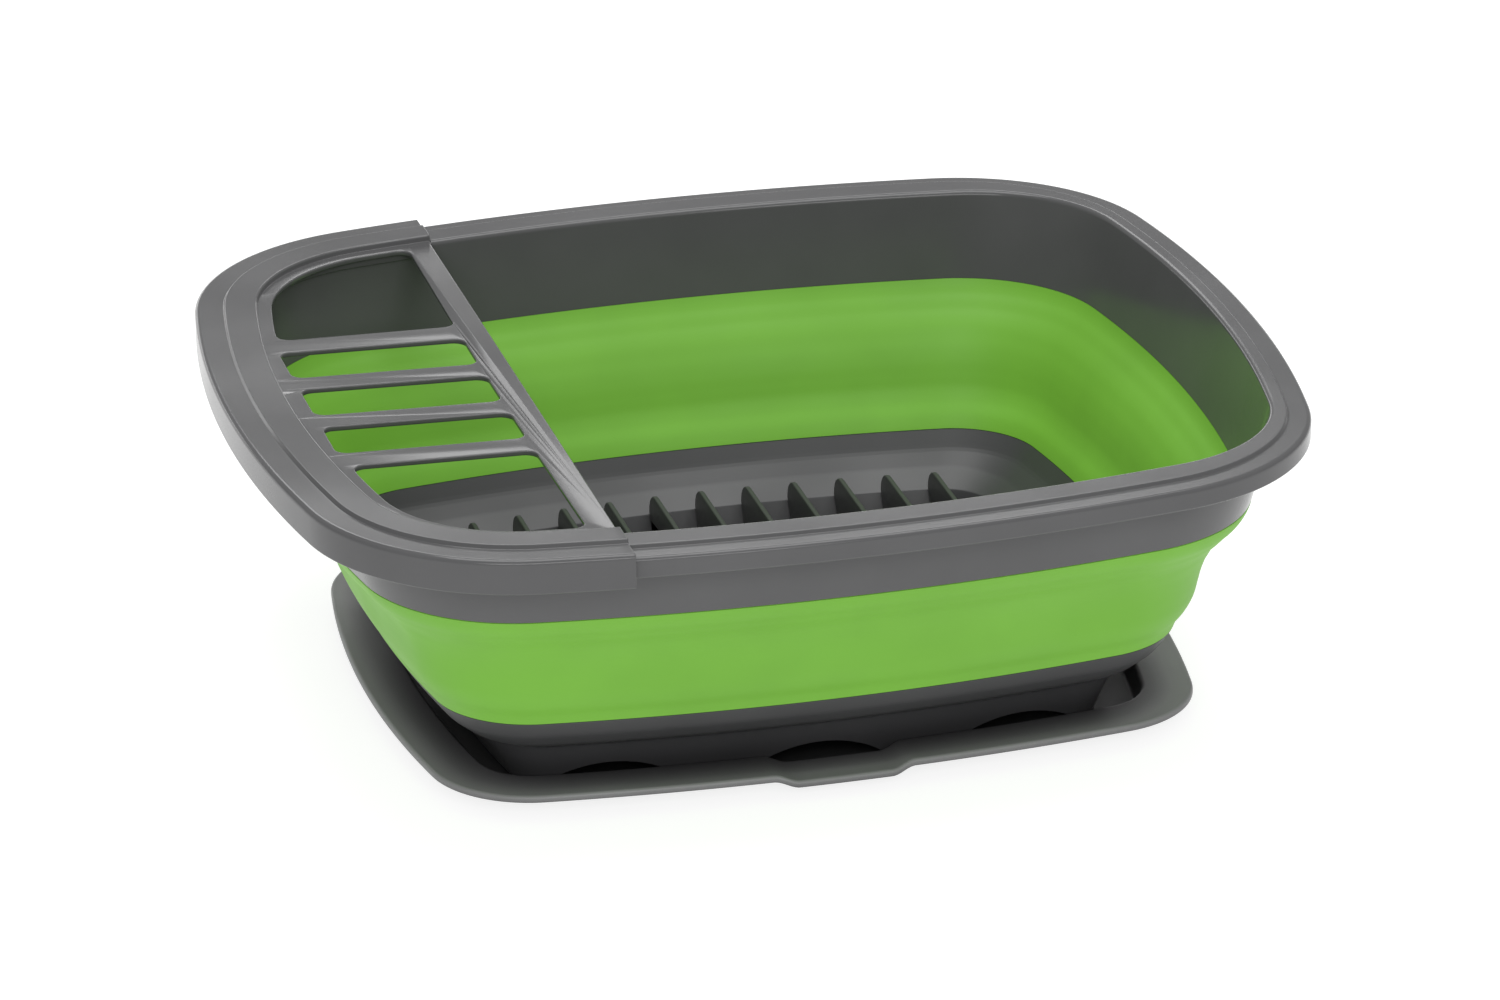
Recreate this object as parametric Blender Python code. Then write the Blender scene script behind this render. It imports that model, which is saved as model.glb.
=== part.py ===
"""Collapsible drying rack: a tub with a folding wall and plate fins, a clip-on cutlery caddy
and a drip tray. Metres, +Z up. The origin is on the tray's underside, below the tub's centre,
with the long side along X and the tray's spout at -Y."""
import math
from collections import namedtuple

import bmesh
import bpy
from mathutils import Vector

# An outline is a rounded rectangle with gently bowed sides: half length, half width, corner
# radius, and the radii of its two long and its two short sides.
Outline = namedtuple("Outline", "a b corner long_side short_side")

# ---------------------------------------------------------------- driving dimensions
RIM = Outline(0.1900, 0.1709, 0.0784, 0.770, 0.555)         # outside of the rim's skirt
RIM_MOUTH = Outline(0.1758, 0.1502, 0.0590, 0.750, 0.535)   # inner edge of the rim's flat top
RIM_FOOT = Outline(0.1686, 0.1462, 0.0580, 0.750, 0.535)    # middle of the rim wall's lower edge
BASE_TOP = Outline(0.1417, 0.1191, 0.0352, 0.723, 0.508)    # middle of the base wall's top edge
BASE_FOOT = Outline(0.1148, 0.0935, 0.0160, 0.700, 0.480)   # outside of the foot ring
TRAY = Outline(0.1484, 0.1233, 0.0391, 0.833, 0.500)        # outside of the tray's flange
TRAY_SHIFT = Vector((0.0026, 0.0023, 0.0))                  # the tub stands a little off centre

RIM_TOP = 0.1216
RIM_BAND_TOP = 0.1203       # the outer band is a step lower than the inner flat
RIM_BAND = 0.0080           # width of the outer band, from the outside of the skirt
RIM_STEP_RUN = 0.0010       # the step between band and flat leans in by this much
RIM_SKIRT_BOTTOM = 0.1125
RIM_SKIRT = 0.0020          # thickness of the skirt
RIM_EDGE = 0.0018           # rounding of the rim's outer edge
EDGE_DROP = 0.1             # a rounded edge's last ring lies this share of its radius lower
RIM_MOUTH_EDGE = 0.0014     # rounding of its inner edge
RIM_UNDER = 0.1178          # underside of the rim's flat
RIM_WALL_BOTTOM = 0.0882
WALL = 0.0026               # wall thickness of the rim, the folding wall and the base
BASE_WALL_TOP = 0.0375
JOINT_GAP = 0.00015         # half of the gap between the folding wall and its neighbours

FLOOR_TOP = 0.0130
FLOOR_BOTTOM = 0.0110
FOOT_BOTTOM = 0.0023
LEDGE_Z = 0.0195            # where the base's outer wall turns down into the sump
FOOT_WALL = 0.0024
# The base's outer and inner walls as (share of the way from top to foot, height).
BASE_OUTSIDE = ((0.16, 0.0305), (0.40, 0.0245), (0.74, LEDGE_Z))
BASE_INSIDE = ((0.88, FLOOR_TOP), (0.74, 0.0211), (0.39, 0.0262), (0.15, 0.0315))
FOOT_SHARE = 0.88           # where the foot ring meets the floor

FIN_COUNT = 12
FIN_PITCH = 0.0179
FIN_THICKNESS = 0.0019
FIN_SHIFT = -0.0032         # the rows stand a little to one side of the middle
FIN_TOP = 0.0311
FIN_BACK = 0.0982           # far end of the middle fins, measured from the centre line
FIN_BACK_BOW = 0.640        # radius of the gentle curve that the far ends follow
FIN_FRONT = 0.0300          # near end, which leaves a channel between the two rows
FIN_ROUND = 0.0085
FIN_GAP = 0.0003            # the fins are moulded on the floor, and stand this far clear of it here
FIN_FOOT_CUT = 0.0062       # the far end leans in below the ledge, clear of the sump wall
FIN_LEDGE_CUT = 0.0020      # and this much at the ledge itself
FIN_UPRIGHT = 0.0026        # it stands upright from this far above the ledge

DRAIN_LENGTH = 0.084
DRAIN_WIDTH = 0.007
DRAIN_ROUND = 0.0031
DRAIN_X = 0.050
DRAIN_Y = 0.012

ARCH_WIDTH = 0.0475
ARCH_TOP = 0.0106
ARCH_REACH = 0.24           # the arches' cutters pass right through the foot ring
LONG_SIDE_ARCHES = (-0.0755, 0.0, 0.0755)

TRAY_TOP = 0.0103
TRAY_FLANGE = 0.0184
TRAY_SHEET = 0.0020
TRAY_LIP = 0.0026           # height of the flange's turned-down edge
TRAY_EDGE = 0.0010          # rounding of the flange's outer edge
TRAY_DRAFT = 0.0022         # how far the well's wall leans in
# Where the flange's points lie along half of a long side: close together round the spout.
TRAY_FRACTIONS = (0.0, 0.13, 0.155, 0.18, 0.205, 0.55, 0.80)
SPOUT_DIP = 0.0022
SPOUT_BULGE = 0.0018
SPOUT_FLAT = 0.017          # half width of the spout's lowest part
SPOUT_HALF = 0.026          # half width where the spout meets the level flange

CADDY_TOP = 0.1240
CADDY_BAND_TOP = 0.1226     # like the rim, the caddy has an outer band one step lower
CADDY_BAND = 0.0078
CADDY_SKIRT_BOTTOM = 0.1099
CADDY_SHEET = 0.0020
CADDY_PLAY = 0.0005         # clearance round the rim
CADDY_FLANGE_END = -0.0842
CADDY_FLANGE_WIDTH = 0.0202
CADDY_PLATE_END = -0.0846
CADDY_PLATE_TOP = 0.1220
CADDY_PLATE_BOTTOM = 0.1200
CADDY_WEB_BOTTOM = 0.1170
CADDY_WEB = Outline(0.1713, 0.1486, 0.0560, 0.750, 0.535)       # outside of the web in the rim's mouth
CADDY_WEB_INSIDE = Outline(0.1693, 0.1472, 0.0540, 0.750, 0.535)
CADDY_OPENING = Outline(0.1641, 0.1450, 0.0524, 0.750, 0.535)   # far side of the two large openings
CADDY_SLOT_LEFT = -0.1625
CADDY_SLOT_RIGHT = -0.0940
CADDY_SLOT_EDGES = ((-0.0497, -0.0243), (-0.0128, 0.0128), (0.0243, 0.0497))
CADDY_LARGE_EDGE = 0.0620
CADDY_ROUND = 0.0045
CADDY_STEP_LEAN = 0.0012    # the step from flange to plate leans in by this much
CADDY_THROAT = 0.0014       # the underside dips this much where the web leaves the rim's flat
CADDY_THROAT_RUN = 0.0021
CADDY_THROAT_START = 0.0012 # the dip starts this far outside the rim's mouth
OVERLAP = 0.0001            # shapes that are joined reach this far into each other
REACH = 0.3                 # half size of the blocks that cut pieces off
OPENING_CORNER = 0.008      # the large openings' curve stops this far from their square corners

# Middle line of the folding wall as (share of the way inwards, height): an upright lip, the upper
# fold, the steep middle, the lower fold and another upright lip.
WALL_LINE = ((0.0, RIM_WALL_BOTTOM - JOINT_GAP), (0.04, 0.0855), (0.10, 0.0830), (0.19, 0.0805),
             (0.27, 0.0780), (0.36, 0.0755), (0.435, 0.0730), (0.50, 0.0700), (0.575, 0.0660),
             (0.64, 0.0610), (0.685, 0.0560), (0.73, 0.0510), (0.81, 0.0465), (0.93, 0.0420),
             (1.0, BASE_WALL_TOP + JOINT_GAP))

# Steps on the quarter of an outline: along the long side, round the corner, along the short side.
LONG_STEPS = 4
CORNER_STEPS = 6
SHORT_STEPS = 3

PARTS_NAME = "collapsible_drying_rack"
GREY = (0.125, 0.125, 0.128)
DARK_GREY = (0.095, 0.095, 0.098)
GREEN = (0.165, 0.413, 0.056)


# ---------------------------------------------------------------- scene and materials
def clear_scene():
    for obj in list(bpy.data.objects):
        bpy.data.objects.remove(obj, do_unlink=True)


def new_collection(name):
    collection = bpy.data.collections.new(name)
    bpy.context.scene.collection.children.link(collection)
    return collection


def plastic(name, colour, roughness):
    material = bpy.data.materials.new(name)
    material.use_nodes = True
    shader = material.node_tree.nodes["Principled BSDF"]
    shader.inputs["Base Color"].default_value = (*colour, 1.0)
    shader.inputs["Roughness"].default_value = roughness
    shader.inputs["Metallic"].default_value = 0.0
    return material


def add_mesh(name, mesh_builder, collection):
    mesh = bpy.data.meshes.new(name)
    mesh_builder.normal_update()
    mesh_builder.to_mesh(mesh)
    mesh_builder.free()
    obj = bpy.data.objects.new(name, mesh)
    collection.objects.link(obj)
    return obj


# ---------------------------------------------------------------- outlines and lofts
def corner_arc(outline):
    """Centre of the corner arc at +X +Y, and the angles where it meets the long and short sides."""
    long_centre = Vector((0.0, outline.b - outline.long_side))
    short_centre = Vector((outline.a - outline.short_side, 0.0))
    to_long = outline.long_side - outline.corner
    to_short = outline.short_side - outline.corner
    across = short_centre - long_centre
    span = across.length
    along = (to_long ** 2 - to_short ** 2 + span ** 2) / (2 * span)
    height = math.sqrt(to_long ** 2 - along ** 2)
    unit = across / span
    side = Vector((-unit.y, unit.x))
    centre = max((long_centre + unit * along + side * height * sign for sign in (1, -1)),
                 key=lambda point: point.x + point.y)
    long_angle = math.atan2(centre.y - long_centre.y, centre.x - long_centre.x)
    short_angle = math.atan2(centre.y - short_centre.y, centre.x - short_centre.x)
    return long_centre, short_centre, centre, long_angle, short_angle


def even_steps(count):
    return [index / count for index in range(count)]


def quarter(outline, long_fractions):
    """Points from the middle of the +Y side to just before the middle of the +X side."""
    long_centre, short_centre, centre, long_angle, short_angle = corner_arc(outline)
    arcs = ((long_centre, outline.long_side, math.pi / 2, long_angle, long_fractions),
            (centre, outline.corner, long_angle, short_angle, even_steps(CORNER_STEPS)),
            (short_centre, outline.short_side, short_angle, 0.0, even_steps(SHORT_STEPS)))
    points = []
    for middle, radius, first, last, fractions in arcs:
        for fraction in fractions:
            angle = first + (last - first) * fraction
            points.append(middle + Vector((math.cos(angle), math.sin(angle))) * radius)
    return points + [short_centre + Vector((outline.short_side, 0.0))]


def outline_points(outline, long_fractions=None):
    """The whole outline, anticlockwise from the middle of the +X side."""
    first = quarter(outline, long_fractions or even_steps(LONG_STEPS))
    north_east = list(reversed(first))
    north_west = [Vector((-p.x, p.y)) for p in first[1:]]
    south_west = [Vector((-p.x, -p.y)) for p in north_east[1:]]
    south_east = [Vector((p.x, -p.y)) for p in first[1:-1]]
    return north_east + north_west + south_west + south_east


def inset(outline, distance):
    return Outline(*(value - distance for value in outline))


def mix(first, last, fraction):
    return Outline(*(p + (q - p) * fraction for p, q in zip(first, last)))


def ring(outline, distance, z, long_fractions=None):
    points = outline_points(inset(outline, distance), long_fractions)
    return [Vector((p.x, p.y, z)) for p in points]


def loft(rings, capped):
    """Skin a list of rings. Uncapped, the last ring joins the first and the solid is a hoop."""
    mesh = bmesh.new()
    rows = [[mesh.verts.new(point) for point in points] for points in rings]
    count = len(rows[0])
    pairs = list(zip(rows, rows[1:])) + ([] if capped else [(rows[-1], rows[0])])
    for lower, upper in pairs:
        for index in range(count):
            after = (index + 1) % count
            mesh.faces.new((lower[index], lower[after], upper[after], upper[index]))
    if capped:
        mesh.faces.new(rows[0])
        mesh.faces.new(rows[-1])
    bmesh.ops.recalc_face_normals(mesh, faces=mesh.faces)
    return mesh


def prism(points, low, high):
    """A straight prism along Z on a closed outline of 2D points."""
    return loft([[Vector((p[0], p[1], z)) for p in points] for z in (low, high)], capped=True)


# ---------------------------------------------------------------- cutting and joining
def combine(target, tool, operation):
    modifier = target.modifiers.new(operation.lower(), "BOOLEAN")
    modifier.operation = operation
    modifier.solver = "EXACT"
    modifier.object = tool
    tool.hide_render = True
    tool.display_type = "WIRE"


def box(name, low, high, collection):
    mesh = bmesh.new()
    bmesh.ops.create_cube(mesh, size=1.0)
    low, high = Vector(low), Vector(high)
    for vertex in mesh.verts:
        vertex.co = (low + high) / 2 + Vector(c * s for c, s in zip(vertex.co, high - low))
    return add_mesh(name, mesh, collection)


def cylinder(name, radius, length, centre, axis, collection):
    mesh = bmesh.new()
    bmesh.ops.create_cone(mesh, cap_ends=True, segments=72, radius1=radius, radius2=radius, depth=length)
    obj = add_mesh(name, mesh, collection)
    obj.location = centre
    obj.rotation_mode = "QUATERNION"
    obj.rotation_quaternion = Vector((0, 0, 1)).rotation_difference(Vector(axis))
    return obj


def rounded(corners, steps=3):
    """Polygon of (x, y, radius) corners with each corner of a radius turned into an arc."""
    points = []
    for index, (x, y, radius) in enumerate(corners):
        here = Vector((x, y))
        if radius == 0.0:
            points.append(here)
            continue
        before = (Vector(corners[index - 1][:2]) - here).normalized()
        after = (Vector(corners[(index + 1) % len(corners)][:2]) - here).normalized()
        half = before.angle(after) / 2
        start = here + before * (radius / math.tan(half))
        end = here + after * (radius / math.tan(half))
        middle = here + (before + after).normalized() * (radius / math.sin(half))
        for step in range(steps + 1):
            point = start.lerp(end, step / steps) - middle
            points.append(middle + point.normalized() * radius)
    return points


# ---------------------------------------------------------------- drip tray
def spout_share(x):
    """1 in the middle of the spout, 0 on the level flange, smooth between them."""
    share = (SPOUT_HALF - abs(x)) / (SPOUT_HALF - SPOUT_FLAT)
    share = min(1.0, max(0.0, share))
    return share * share * (3 - 2 * share)


def tray_ring(distance, z, dips):
    points = ring(TRAY, distance, z, TRAY_FRACTIONS)
    for point in points:
        if dips and point.y < 0:
            share = spout_share(point.x)
            point.z -= SPOUT_DIP * share
            point.y -= SPOUT_BULGE * share
        point += TRAY_SHIFT
    return points


def make_tray(parts):
    under_flange = TRAY_TOP - TRAY_SHEET
    edge = TRAY_TOP - TRAY_LIP
    well_top = TRAY_FLANGE
    well_floor = TRAY_FLANGE + TRAY_DRAFT
    rings = [tray_ring(well_floor - TRAY_SHEET, 0.0, False),
             tray_ring(well_top - TRAY_SHEET, under_flange, True),
             tray_ring(TRAY_SHEET, under_flange, True),
             tray_ring(TRAY_SHEET, edge, True),
             tray_ring(0.0, edge, True),
             tray_ring(0.0, TRAY_TOP - TRAY_EDGE, True),
             tray_ring(TRAY_EDGE, TRAY_TOP, True),
             tray_ring(well_top, TRAY_TOP, True),
             tray_ring(well_floor, TRAY_SHEET, False)]
    return add_mesh("drip_tray", loft(rings, capped=True), parts)


# ---------------------------------------------------------------- base of the tub
def base_ring(inward, z, outline_share):
    """A ring of the base: inward from the outer skin, outline_share 0 at the top and 1 at the foot."""
    skin = mix(inset(BASE_TOP, -WALL / 2), BASE_FOOT, outline_share)
    return ring(skin, inward, z)


def make_base_shell(parts):
    top = BASE_WALL_TOP - JOINT_GAP
    foot = [base_ring(FOOT_WALL, FLOOR_BOTTOM, FOOT_SHARE), base_ring(FOOT_WALL, FOOT_BOTTOM, 1.0),
            base_ring(0.0, FOOT_BOTTOM, 1.0)]
    outer = [base_ring(0.0, z, share) for share, z in reversed(BASE_OUTSIDE)] + [base_ring(0.0, top, 0.0)]
    inner = [base_ring(WALL, top, 0.0)] + [base_ring(WALL, z, share) for share, z in reversed(BASE_INSIDE)]
    rings = foot + outer + inner
    return add_mesh("base", loft(rings, capped=True), parts)


def fin_back(x):
    """Far end of the fin at x: the rows follow the bowed long sides."""
    return FIN_BACK - x * x / (2 * FIN_BACK_BOW)


def make_fin(name, x, side, parts):
    """A plate across the tub, rounded at the top of both ends."""
    root, back = FLOOR_TOP + FIN_GAP, fin_back(x)
    profile = rounded([(FIN_FRONT, root, 0.0), (back - FIN_FOOT_CUT, root, 0.0),
                       (back - FIN_LEDGE_CUT, LEDGE_Z, 0.0), (back, LEDGE_Z + FIN_UPRIGHT, 0.0),
                       (back, FIN_TOP, FIN_ROUND), (FIN_FRONT, FIN_TOP, FIN_ROUND)])
    half = FIN_THICKNESS / 2
    rows = [[Vector((dx, side * p.x, p.y)) for p in profile] for dx in (-half, half)]
    fin = add_mesh(name, loft(rows, capped=True), parts)
    fin.location.x = x
    return fin


def make_fins(parts):
    """Two rows of fins across the tub, at the back and at the front."""
    places = [FIN_SHIFT + (index - (FIN_COUNT - 1) / 2) * FIN_PITCH for index in range(FIN_COUNT)]
    return [make_fin(f"{row}_fin_{index + 1:02d}", x, side, parts)
            for side, row in ((1, "back"), (-1, "front")) for index, x in enumerate(places)]


def make_base(parts, cutters):
    base = make_base_shell(parts)
    for x in (-DRAIN_X, DRAIN_X):
        for y in (-DRAIN_Y, DRAIN_Y):
            end_x, end_y, end = DRAIN_LENGTH / 2, DRAIN_WIDTH / 2, DRAIN_ROUND
            corners = [(x - end_x, y - end_y, end), (x + end_x, y - end_y, end),
                       (x + end_x, y + end_y, end), (x - end_x, y + end_y, end)]
            slot = add_mesh("drain_slot_cutter", prism(rounded(corners), FOOT_BOTTOM, LEDGE_Z), cutters)
            combine(base, slot, "DIFFERENCE")
    rise = ARCH_TOP - FOOT_BOTTOM
    radius = (ARCH_WIDTH ** 2 / 4 + rise ** 2) / (2 * rise)
    for x in LONG_SIDE_ARCHES:
        centre = (x, 0, ARCH_TOP - radius)
        arch = cylinder("long_side_arch_cutter", radius, ARCH_REACH, centre, (0, 1, 0), cutters)
        combine(base, arch, "DIFFERENCE")
    centre = (0, 0, ARCH_TOP - radius)
    arch = cylinder("short_side_arch_cutter", radius, ARCH_REACH, centre, (1, 0, 0), cutters)
    combine(base, arch, "DIFFERENCE")
    return base


# ---------------------------------------------------------------- folding wall and rim
def make_folding_wall(parts):
    profile = WALL_LINE
    reach = RIM_FOOT.a - BASE_TOP.a
    skins = ([], [])
    for index, (share, z) in enumerate(profile):
        before = profile[max(index - 1, 0)]
        after = profile[min(index + 1, len(profile) - 1)]
        along = Vector(((after[0] - before[0]) * reach, after[1] - before[1])).normalized()
        if index in (0, len(profile) - 1):
            along = Vector((0.0, -1.0))
        for skin, side in zip(skins, (1, -1)):
            outline = mix(RIM_FOOT, BASE_TOP, share)
            skin.append(ring(outline, along.y * side * WALL / 2, z - along.x * side * WALL / 2))
    return add_mesh("folding_wall", loft(skins[0] + list(reversed(skins[1])), capped=False), parts)


def make_rim(parts):
    bottom = RIM_WALL_BOTTOM + JOINT_GAP
    edge = RIM_EDGE * EDGE_DROP
    rings = [ring(RIM, RIM_SKIRT, RIM_SKIRT_BOTTOM), ring(RIM, edge, RIM_SKIRT_BOTTOM),
             ring(RIM, 0.0, RIM_BAND_TOP - RIM_EDGE), ring(RIM, RIM_EDGE, RIM_BAND_TOP - edge),
             ring(RIM, RIM_BAND, RIM_BAND_TOP), ring(RIM, RIM_BAND + RIM_STEP_RUN, RIM_TOP),
             ring(RIM_MOUTH, -RIM_MOUTH_EDGE, RIM_TOP), ring(RIM_MOUTH, 0.0, RIM_TOP - RIM_MOUTH_EDGE),
             ring(RIM_FOOT, WALL / 2, bottom), ring(RIM_FOOT, -WALL / 2, bottom),
             ring(RIM_MOUTH, -WALL, RIM_UNDER), ring(RIM, RIM_SKIRT, RIM_UNDER)]
    return add_mesh("rim_frame", loft(rings, capped=False), parts)


# ---------------------------------------------------------------- cutlery caddy
def make_caddy(parts, cutters):
    """A flange that hooks over one end of the rim, and a slotted plate hung inside it."""
    skirt_in, skirt_out = -CADDY_PLAY, -CADDY_PLAY - CADDY_SHEET
    underside = CADDY_TOP - CADDY_SHEET
    edge = RIM_EDGE * EDGE_DROP
    step_top, step_foot = CADDY_FLANGE_WIDTH - CADDY_STEP_LEAN, CADDY_FLANGE_WIDTH
    throat = CADDY_THROAT_RUN - CADDY_THROAT_START
    rings = [ring(RIM, skirt_in, CADDY_SKIRT_BOTTOM), ring(RIM, skirt_out, CADDY_SKIRT_BOTTOM),
             ring(RIM, skirt_out, CADDY_BAND_TOP - RIM_EDGE),
             ring(RIM, skirt_out + RIM_EDGE, CADDY_BAND_TOP - edge),
             ring(RIM, CADDY_BAND, CADDY_BAND_TOP), ring(RIM, CADDY_BAND + RIM_STEP_RUN, CADDY_TOP),
             ring(RIM, step_top, CADDY_TOP), ring(RIM, step_foot, CADDY_PLATE_TOP - OVERLAP),
             ring(CADDY_WEB_INSIDE, 0.0, CADDY_PLATE_TOP - 2 * OVERLAP),
             ring(CADDY_WEB_INSIDE, 0.0, CADDY_WEB_BOTTOM), ring(CADDY_WEB, 0.0, CADDY_WEB_BOTTOM),
             ring(RIM_MOUTH, throat, underside - CADDY_THROAT),
             ring(RIM_MOUTH, -CADDY_THROAT_START, underside),
             ring(RIM, skirt_in, underside)]
    caddy = add_mesh("utensil_caddy", loft(rings, capped=False), parts)
    end = box("flange_end_cutter", (CADDY_FLANGE_END, -REACH, 0.0), (REACH, REACH, REACH), cutters)
    combine(caddy, end, "DIFFERENCE")

    border = outline_points(mix(CADDY_WEB, CADDY_WEB_INSIDE, 0.5))
    plate = add_mesh("caddy_plate", prism(border, CADDY_PLATE_BOTTOM + OVERLAP, CADDY_PLATE_TOP), cutters)
    end = box("plate_end_cutter", (CADDY_PLATE_END, -REACH, 0.0), (REACH, REACH, REACH), cutters)
    combine(plate, end, "DIFFERENCE")
    left, right, r = CADDY_SLOT_LEFT, CADDY_SLOT_RIGHT, CADDY_ROUND
    low, high = CADDY_SKIRT_BOTTOM, CADDY_TOP
    for first, last in CADDY_SLOT_EDGES:
        corners = [(left, first, r), (right, first, r), (right, last, r), (left, last, r)]
        slot = add_mesh("cutlery_slot_cutter", prism(rounded(corners), low, high), cutters)
        combine(plate, slot, "DIFFERENCE")
    for side in (1, -1):
        curve = [p for p in outline_points(CADDY_OPENING)
                 if p.x < right - OPENING_CORNER and side * p.y > CADDY_LARGE_EDGE + OPENING_CORNER]
        curve.sort(key=lambda p: p.x)
        edge = side * CADDY_LARGE_EDGE
        start = (curve[0].x, edge, r)
        stop = (right, curve[-1].y, r)
        corners = [start, (right, edge, r), stop] + [(p.x, p.y, 0.0) for p in reversed(curve)]
        opening = add_mesh("large_opening_cutter", prism(rounded(corners), low, high), cutters)
        combine(plate, opening, "DIFFERENCE")
    combine(caddy, plate, "UNION")
    return caddy


# ---------------------------------------------------------------- assembly
def finish(piece, material):
    piece.data.materials.append(material)
    piece.data.shade_smooth()
    piece.data.set_sharp_from_angle(angle=math.radians(30))


def build():
    clear_scene()
    parts = new_collection(PARTS_NAME)
    cutters = new_collection("cutters")
    finish(make_tray(parts), plastic("tray_plastic", GREY, 0.42))
    finish(make_base(parts, cutters), plastic("base_plastic", DARK_GREY, 0.45))
    finish(make_folding_wall(parts), plastic("wall_rubber", GREEN, 0.55))
    finish(make_rim(parts), plastic("rim_plastic", GREY, 0.40))
    finish(make_caddy(parts, cutters), plastic("caddy_plastic", GREY, 0.40))
    fin_plastic = plastic("fin_plastic", DARK_GREY, 0.45)
    for fin in make_fins(parts):
        finish(fin, fin_plastic)


build()
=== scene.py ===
"""The looks of a collapsible drying rack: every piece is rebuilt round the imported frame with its
rounded edges and moulded details, and gets a procedural plastic or rubber material."""
import math
from collections import namedtuple

import bmesh
import bpy
from mathutils import Matrix, Vector


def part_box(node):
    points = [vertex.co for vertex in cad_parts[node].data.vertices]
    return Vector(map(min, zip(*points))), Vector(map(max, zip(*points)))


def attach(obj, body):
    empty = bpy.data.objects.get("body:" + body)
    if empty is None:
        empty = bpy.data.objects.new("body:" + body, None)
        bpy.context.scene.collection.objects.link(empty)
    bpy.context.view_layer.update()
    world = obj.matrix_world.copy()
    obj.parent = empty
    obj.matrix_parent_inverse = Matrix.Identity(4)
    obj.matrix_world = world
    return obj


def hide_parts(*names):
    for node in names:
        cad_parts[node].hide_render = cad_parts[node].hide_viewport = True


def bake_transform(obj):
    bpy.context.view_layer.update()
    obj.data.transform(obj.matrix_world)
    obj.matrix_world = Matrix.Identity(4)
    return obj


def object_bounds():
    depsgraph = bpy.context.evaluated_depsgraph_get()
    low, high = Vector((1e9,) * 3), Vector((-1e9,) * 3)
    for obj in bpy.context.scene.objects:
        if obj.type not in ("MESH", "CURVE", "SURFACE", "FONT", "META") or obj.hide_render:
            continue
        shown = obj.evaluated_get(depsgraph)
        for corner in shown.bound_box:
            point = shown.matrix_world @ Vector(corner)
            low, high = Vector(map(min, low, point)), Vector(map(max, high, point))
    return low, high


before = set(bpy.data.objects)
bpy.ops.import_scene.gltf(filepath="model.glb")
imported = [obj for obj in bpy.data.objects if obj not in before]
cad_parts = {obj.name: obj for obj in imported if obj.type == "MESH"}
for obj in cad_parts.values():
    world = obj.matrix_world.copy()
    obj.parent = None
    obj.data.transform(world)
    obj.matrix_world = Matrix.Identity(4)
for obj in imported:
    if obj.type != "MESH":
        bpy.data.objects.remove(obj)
cad_low, cad_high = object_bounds()

MM = 0.001
QUARTER_TURN = math.radians(90)

# An outline is a rounded rectangle with gently bowed sides: half length, half width, corner
# radius, and the radii of its two long and its two short sides.
Outline = namedtuple("Outline", "a b corner long_side short_side")

# ---------------------------------------------------------------- sizes read from the frame
rim_low, rim_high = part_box("rim_frame")
wall_low, wall_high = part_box("folding_wall")
base_low, base_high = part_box("base")
tray_low, tray_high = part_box("drip_tray")
caddy_low, caddy_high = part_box("utensil_caddy")
fin_names = sorted(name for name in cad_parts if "_fin_" in name)

# ---------------------------------------------------------------- outlines of the pieces
WALL = 2.6 * MM              # thickness of the folding wall and of the base under it
RIM = Outline(rim_high.x, rim_high.y, 78.4 * MM, 770 * MM, 555 * MM)
RIM_FOOT = Outline(wall_high.x - WALL / 2, wall_high.y - WALL / 2, 58.0 * MM, 750 * MM, 535 * MM)
BASE_TOP = Outline(base_high.x - WALL / 2, base_high.y - WALL / 2, 35.2 * MM, 723 * MM, 508 * MM)
BASE_FOOT = Outline(114.8 * MM, 93.5 * MM, 16.0 * MM, 700 * MM, 480 * MM)
TRAY_SHIFT = Vector(((tray_low.x + tray_high.x) / 2, 2.3 * MM, 0.0))  # the tub is off its middle
TRAY = Outline(tray_high.x - TRAY_SHIFT.x, tray_high.y - TRAY_SHIFT.y, 39.1 * MM, 833 * MM, 500 * MM)
RIM_MOUTH = Outline(175.8 * MM, 150.2 * MM, 59.0 * MM, 750 * MM, 535 * MM)

# Steps on the quarter of an outline: along the long side, round the corner, along the short side.
LONG_STEPS = 30
CORNER_STEPS = 28
SHORT_STEPS = 20
ARC_STEP = math.radians(15)  # largest turn between two points of a rounded edge
SHARP_ANGLE = math.radians(35)
SUPPORT = 0.25 * MM          # distance of the extra loop that keeps a flat face flat
LEAST_FLAT = 6 * SUPPORT     # shorter stretches get no extra loops
SEAM_ROUND = 0.15 * MM       # rounding where a piece meets its neighbour


# ---------------------------------------------------------------- outlines and profiles
def corner_arc(outline):
    """Centres of the three arcs of a quarter outline, and the angles where they meet."""
    long_centre = Vector((0.0, outline.b - outline.long_side))
    short_centre = Vector((outline.a - outline.short_side, 0.0))
    to_long = outline.long_side - outline.corner
    to_short = outline.short_side - outline.corner
    across = short_centre - long_centre
    span = across.length
    along = (to_long ** 2 - to_short ** 2 + span ** 2) / (2 * span)
    height = math.sqrt(to_long ** 2 - along ** 2)
    unit = across / span
    side = Vector((-unit.y, unit.x))
    centre = max((long_centre + unit * along + side * height * sign for sign in (1, -1)),
                 key=lambda point: point.x + point.y)
    long_angle = math.atan2(centre.y - long_centre.y, centre.x - long_centre.x)
    short_angle = math.atan2(centre.y - short_centre.y, centre.x - short_centre.x)
    return long_centre, short_centre, centre, long_angle, short_angle


def even_steps(count):
    return [index / count for index in range(count)]


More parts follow.
